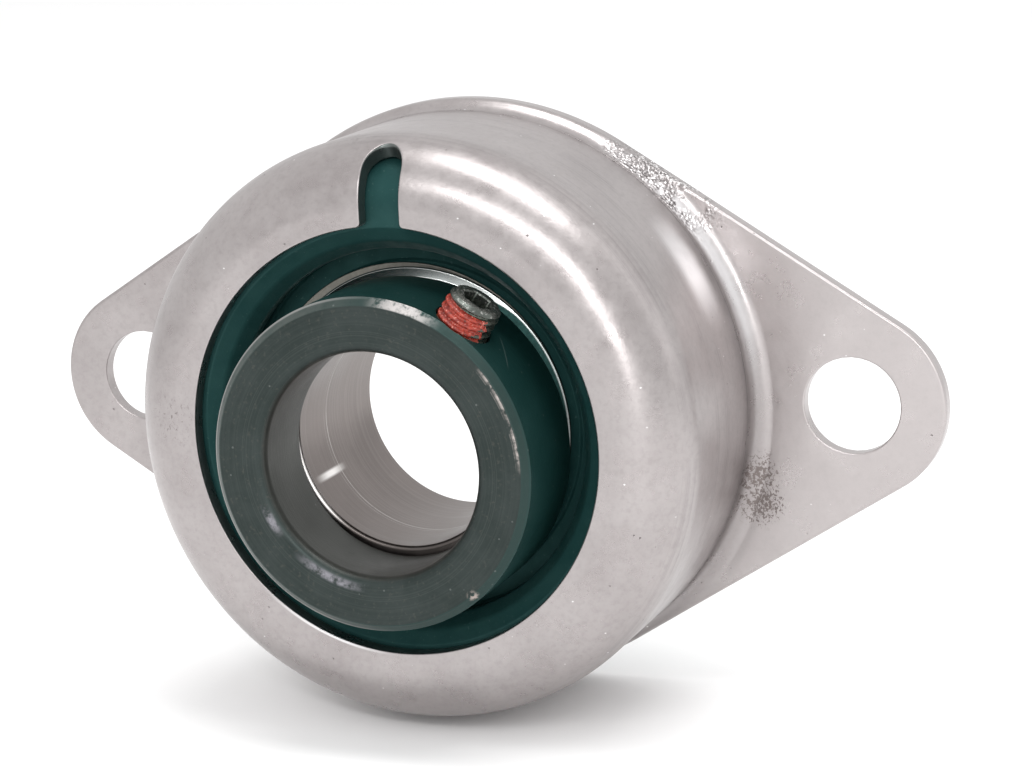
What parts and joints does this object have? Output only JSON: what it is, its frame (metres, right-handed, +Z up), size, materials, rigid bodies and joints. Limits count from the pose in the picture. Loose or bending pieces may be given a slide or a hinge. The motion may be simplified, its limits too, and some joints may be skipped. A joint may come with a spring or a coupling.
{
  "type": "two-bolt flange bearing",
  "caption": "Two-bolt pressed steel flange bearing with a rubber-cushioned ball insert and an eccentric locking collar with a set screw.",
  "frame": {"origin": "on the shaft's axis, in the plane of the flange's back face", "axes": "+X along the two bolt holes, +Y along the shaft into the machine the flange is bolted to (the collar looks towards -Y), +Z up"},
  "size_m": [0.1142, 0.0367, 0.071],
  "materials": {
    "zinc_steel": "zinc plated, satin",
    "rubber": "moulded, satin",
    "seal_rubber": "moulded, matt",
    "race_steel": "ground",
    "flinger_steel": "pressed, dull",
    "ball_steel": "polished",
    "cage_steel": "pressed, plain",
    "black_steel": "black oxide, oiled"
  },
  "bodies": {
    "housing": {"housing": "zinc_steel", "rubber_cushion": "rubber"},
    "outer_race": {"outer_ring": "race_steel", "front_seal": "seal_rubber", "rear_seal": "seal_rubber"},
    "inner_race": {"inner_ring": "race_steel", "front_flinger": "flinger_steel", "rear_flinger": "flinger_steel"},
    "cage": {"cage_front": "cage_steel", "cage_rear": "cage_steel", "cage_rivet_1": "cage_steel", "cage_rivet_2": "cage_steel", "cage_rivet_3": "cage_steel", "cage_rivet_4": "cage_steel", "cage_rivet_5": "cage_steel", "cage_rivet_6": "cage_steel", "cage_rivet_7": "cage_steel", "cage_rivet_8": "cage_steel", "cage_rivet_9": "cage_steel"},
    "ball_1": {"ball_1": "ball_steel"},
    "ball_2": {"ball_2": "ball_steel"},
    "ball_3": {"ball_3": "ball_steel"},
    "ball_4": {"ball_4": "ball_steel"},
    "ball_5": {"ball_5": "ball_steel"},
    "ball_6": {"ball_6": "ball_steel"},
    "ball_7": {"ball_7": "ball_steel"},
    "ball_8": {"ball_8": "ball_steel"},
    "ball_9": {"ball_9": "ball_steel"},
    "collar": {"locking_collar": "black_steel"},
    "screw": {"set_screw": "black_steel"}
  },
  "joints": [
    {"name": "insert_tilt", "type": "hinge", "parent": "housing", "child": "outer_race", "pos_m": [0, -0.0139, 0], "axis": [1, 0, 0], "range_deg": [-2, 2], "stiffness_Nm_per_rad": 20},
    {"name": "shaft_spin", "type": "hinge", "parent": "outer_race", "child": "inner_race", "pos_m": [0, -0.0139, 0], "axis": [0, 1, 0], "continuous": true},
    {"name": "cage_orbit", "type": "hinge", "parent": "outer_race", "child": "cage", "pos_m": [0, -0.0139, 0], "axis": [0, 1, 0], "continuous": true},
    {"name": "ball_spin_1", "type": "hinge", "parent": "cage", "child": "ball_1", "pos_m": [0.01925, -0.0139, 0], "axis": [0, 1, 0], "continuous": true},
    {"name": "ball_spin_2", "type": "hinge", "parent": "cage", "child": "ball_2", "pos_m": [0.01475, -0.0139, 0.01237], "axis": [0, 1, 0], "continuous": true},
    {"name": "ball_spin_3", "type": "hinge", "parent": "cage", "child": "ball_3", "pos_m": [0.00334, -0.0139, 0.01896], "axis": [0, 1, 0], "continuous": true},
    {"name": "ball_spin_4", "type": "hinge", "parent": "cage", "child": "ball_4", "pos_m": [-0.00962, -0.0139, 0.01667], "axis": [0, 1, 0], "continuous": true},
    {"name": "ball_spin_5", "type": "hinge", "parent": "cage", "child": "ball_5", "pos_m": [-0.01809, -0.0139, 0.00658], "axis": [0, 1, 0], "continuous": true},
    {"name": "ball_spin_6", "type": "hinge", "parent": "cage", "child": "ball_6", "pos_m": [-0.01809, -0.0139, -0.00658], "axis": [0, 1, 0], "continuous": true},
    {"name": "ball_spin_7", "type": "hinge", "parent": "cage", "child": "ball_7", "pos_m": [-0.00962, -0.0139, -0.01667], "axis": [0, 1, 0], "continuous": true},
    {"name": "ball_spin_8", "type": "hinge", "parent": "cage", "child": "ball_8", "pos_m": [0.00334, -0.0139, -0.01896], "axis": [0, 1, 0], "continuous": true},
    {"name": "ball_spin_9", "type": "hinge", "parent": "cage", "child": "ball_9", "pos_m": [0.01475, -0.0139, -0.01237], "axis": [0, 1, 0], "continuous": true},
    {"name": "collar_turn", "type": "hinge", "parent": "inner_race", "child": "collar", "pos_m": [-0.00041, -0.0253, -0.00069], "axis": [0, 1, 0], "continuous": true},
    {"name": "screw_travel", "type": "slide", "parent": "collar", "child": "screw", "axis": [0.5592, 0, 0.829], "range_m": [-0.0031, 0.0003]}
  ],
  "couplings": [
    {"joint": "cage_orbit", "follows": "shaft_spin", "ratio": 0.3969},
    {"joint": "ball_spin_1", "follows": "shaft_spin", "ratio": -2.3213},
    {"joint": "ball_spin_2", "follows": "shaft_spin", "ratio": -2.3213},
    {"joint": "ball_spin_3", "follows": "shaft_spin", "ratio": -2.3213},
    {"joint": "ball_spin_4", "follows": "shaft_spin", "ratio": -2.3213},
    {"joint": "ball_spin_5", "follows": "shaft_spin", "ratio": -2.3213},
    {"joint": "ball_spin_6", "follows": "shaft_spin", "ratio": -2.3213},
    {"joint": "ball_spin_7", "follows": "shaft_spin", "ratio": -2.3213},
    {"joint": "ball_spin_8", "follows": "shaft_spin", "ratio": -2.3213},
    {"joint": "ball_spin_9", "follows": "shaft_spin", "ratio": -2.3213}
  ]
}
